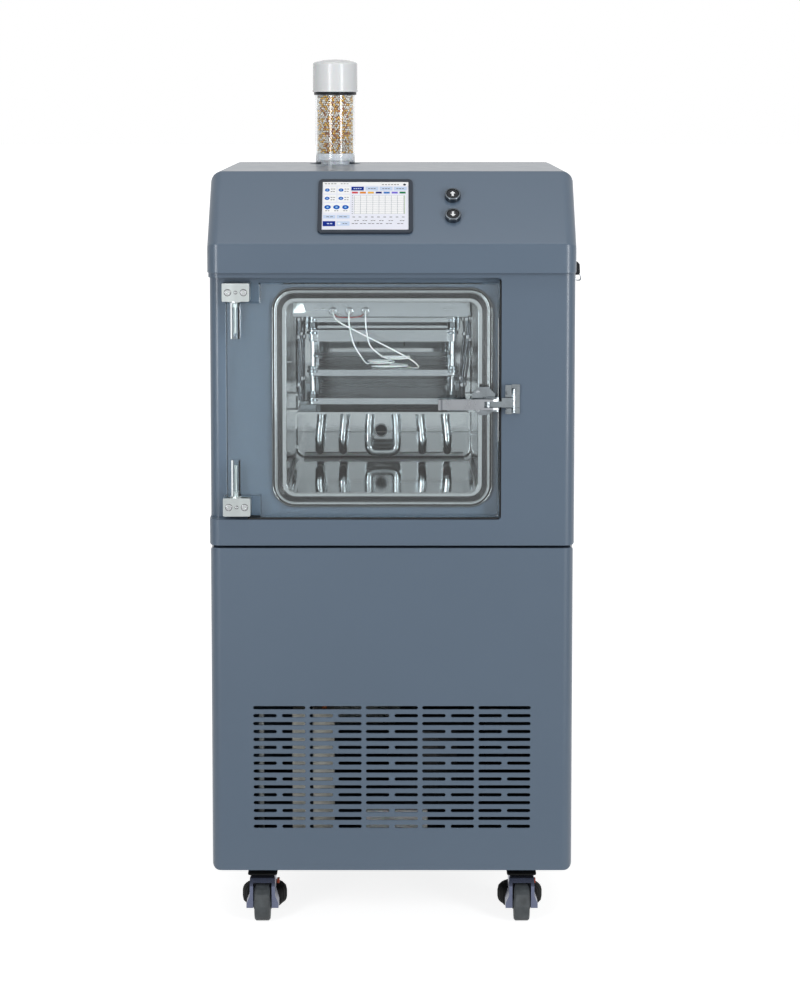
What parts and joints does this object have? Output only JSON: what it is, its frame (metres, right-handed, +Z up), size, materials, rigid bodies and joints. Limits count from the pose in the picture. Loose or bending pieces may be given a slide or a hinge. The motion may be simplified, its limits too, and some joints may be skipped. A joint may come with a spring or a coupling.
{
  "type": "freeze dryer",
  "caption": "Floor-standing freeze dryer with a clear hinged door, a stoppering shelf stack, a sloped touch-screen hood, a desiccant column and levelling castors.",
  "frame": {"origin": "on the floor, under the middle of the cabinet", "axes": "+X to the viewer's right when facing the door, +Y to the back, +Z up; the front faces -Y"},
  "size_m": [0.6157, 0.6925, 1.4495],
  "materials": {
    "body_paint": "satin blue-grey powder coat",
    "dark_steel": "dark zinc-plated folded sheet",
    "stainless": "polished stainless steel",
    "polished_steel": "bright turned and plated steel",
    "aluminium": "machined aluminium",
    "clear_acrylic": "clear cast acrylic",
    "gasket_silicone": "translucent silicone",
    "black_plastic": "moulded black nylon",
    "bezel_plastic": "dark grey moulded bezel",
    "screen_glass": "lit touch panel",
    "white_plastic": "white moulded cap",
    "desiccant": "orange indicating silica gel beads",
    "white_wire": "white sheathed lead",
    "black_enamel": "black enamelled steel",
    "tan_enamel": "tan painted steel",
    "copper": "drawn copper",
    "wheel_nylon": "grey nylon tread",
    "castor_zinc": "grey painted zinc casting",
    "black_rubber": "ribbed black rubber"
  },
  "bodies": {
    "cabinet": {"base_pan": "dark_steel", "mid_deck": "dark_steel", "lower_front_panel": "body_paint", "upper_front_panel": "body_paint", "side_panel_left": "body_paint", "side_panel_right": "body_paint", "rear_panel": "body_paint", "hood": "body_paint", "hood_catch": "black_plastic", "screen_housing": "bezel_plastic", "screen_glass": "screen_glass", "up_button_collar": "polished_steel", "down_button_collar": "polished_steel", "column_socket": "black_plastic", "column_tube": "clear_acrylic", "column_cap": "white_plastic", "desiccant": "desiccant", "vacuum_chamber": "stainless", "door_gasket": "gasket_silicone", "chamber_header": "stainless", "sensor_gland_1": "polished_steel", "sensor_gland_2": "polished_steel", "sensor_gland_3": "polished_steel", "sensor_wire_1": "white_wire", "sensor_wire_2": "white_wire", "sensor_wire_3": "white_wire", "shelf_rack": "polished_steel", "bottom_shelf": "stainless", "ram_cylinder": "aluminium", "condenser_coil": "polished_steel", "hinge_block_top": "aluminium", "hinge_block_bottom": "aluminium", "latch_keeper": "polished_steel", "compressor": "black_enamel", "heat_exchanger": "tan_enamel", "radiator": "aluminium", "refrigerant_pipes": "copper", "vacuum_port": "stainless"},
    "door": {"door_panel": "clear_acrylic", "latch_base": "polished_steel"},
    "lever": {"latch_lever": "polished_steel"},
    "link": {"latch_link": "polished_steel"},
    "press": {"press_plate": "stainless", "top_shelf": "stainless"},
    "mid_shelf": {"middle_shelf": "stainless"},
    "up_cap": {"up_button": "black_plastic"},
    "down_cap": {"down_button": "black_plastic"},
    "fan": {"fan_rotor": "black_plastic"},
    "swivel_front_left": {"castor_fork_front_left": "castor_zinc"},
    "wheel_front_left": {"castor_wheel_front_left": "wheel_nylon"},
    "foot_front_left": {"castor_leveller_front_left": "black_rubber"},
    "swivel_front_right": {"castor_fork_front_right": "castor_zinc"},
    "wheel_front_right": {"castor_wheel_front_right": "wheel_nylon"},
    "foot_front_right": {"castor_leveller_front_right": "black_rubber"},
    "swivel_rear_left": {"castor_fork_rear_left": "castor_zinc"},
    "wheel_rear_left": {"castor_wheel_rear_left": "wheel_nylon"},
    "foot_rear_left": {"castor_leveller_rear_left": "black_rubber"},
    "swivel_rear_right": {"castor_fork_rear_right": "castor_zinc"},
    "wheel_rear_right": {"castor_wheel_rear_right": "wheel_nylon"},
    "foot_rear_right": {"castor_leveller_rear_right": "black_rubber"}
  },
  "joints": [
    {"name": "door_hinge", "type": "hinge", "parent": "cabinet", "child": "door", "pos_m": [-0.257, -0.313, 0.8865], "axis": [0, 0, -1], "range_deg": [0, 170]},
    {"name": "latch_lever_hinge", "type": "hinge", "parent": "door", "child": "lever", "pos_m": [0.172, -0.334, 0.8817], "axis": [0, 0, 1], "range_deg": [0, 100]},
    {"name": "latch_link_hinge", "type": "hinge", "parent": "lever", "child": "link", "pos_m": [0.158, -0.334, 0.8817], "axis": [0, 0, 1], "range_deg": [-100, 0]},
    {"name": "press_slide", "type": "slide", "parent": "cabinet", "child": "press", "axis": [0, 0, -1], "range_m": [0, 0.024]},
    {"name": "mid_shelf_slide", "type": "slide", "parent": "cabinet", "child": "mid_shelf", "axis": [0, 0, -1], "range_m": [0, 0.012]},
    {"name": "up_button_press", "type": "slide", "parent": "cabinet", "child": "up_cap", "axis": [0, 0.7071, -0.7071], "range_m": [0, 0.002], "stiffness_N_per_m": 900},
    {"name": "down_button_press", "type": "slide", "parent": "cabinet", "child": "down_cap", "axis": [0, 0.7071, -0.7071], "range_m": [0, 0.002], "stiffness_N_per_m": 900},
    {"name": "fan_spin", "type": "hinge", "parent": "cabinet", "child": "fan", "pos_m": [-0.04, 0.262, 0.33], "axis": [0, 1, 0], "continuous": true},
    {"name": "swivel_front_left", "type": "hinge", "parent": "cabinet", "child": "swivel_front_left", "pos_m": [-0.218, -0.212, 0.089], "axis": [0, 0, 1], "continuous": true},
    {"name": "roll_front_left", "type": "hinge", "parent": "swivel_front_left", "child": "wheel_front_left", "pos_m": [-0.218, -0.282, 0.0315], "axis": [1, 0, 0], "continuous": true},
    {"name": "level_front_left", "type": "slide", "parent": "swivel_front_left", "child": "foot_front_left", "axis": [0, 0, -1], "range_m": [0, 0.02]},
    {"name": "swivel_front_right", "type": "hinge", "parent": "cabinet", "child": "swivel_front_right", "pos_m": [0.218, -0.212, 0.089], "axis": [0, 0, 1], "continuous": true},
    {"name": "roll_front_right", "type": "hinge", "parent": "swivel_front_right", "child": "wheel_front_right", "pos_m": [0.218, -0.282, 0.0315], "axis": [1, 0, 0], "continuous": true},
    {"name": "level_front_right", "type": "slide", "parent": "swivel_front_right", "child": "foot_front_right", "axis": [0, 0, -1], "range_m": [0, 0.02]},
    {"name": "swivel_rear_left", "type": "hinge", "parent": "cabinet", "child": "swivel_rear_left", "pos_m": [-0.218, 0.212, 0.089], "axis": [0, 0, 1], "continuous": true},
    {"name": "roll_rear_left", "type": "hinge", "parent": "swivel_rear_left", "child": "wheel_rear_left", "pos_m": [-0.218, 0.282, 0.0315], "axis": [1, 0, 0], "continuous": true},
    {"name": "level_rear_left", "type": "slide", "parent": "swivel_rear_left", "child": "foot_rear_left", "axis": [0, 0, -1], "range_m": [0, 0.02]},
    {"name": "swivel_rear_right", "type": "hinge", "parent": "cabinet", "child": "swivel_rear_right", "pos_m": [0.218, 0.212, 0.089], "axis": [0, 0, 1], "continuous": true},
    {"name": "roll_rear_right", "type": "hinge", "parent": "swivel_rear_right", "child": "wheel_rear_right", "pos_m": [0.218, 0.282, 0.0315], "axis": [1, 0, 0], "continuous": true},
    {"name": "level_rear_right", "type": "slide", "parent": "swivel_rear_right", "child": "foot_rear_right", "axis": [0, 0, -1], "range_m": [0, 0.02]}
  ],
  "couplings": [
    {"joint": "latch_link_hinge", "follows": "latch_lever_hinge", "ratio": -1},
    {"joint": "mid_shelf_slide", "follows": "press_slide", "ratio": 0.5}
  ]
}
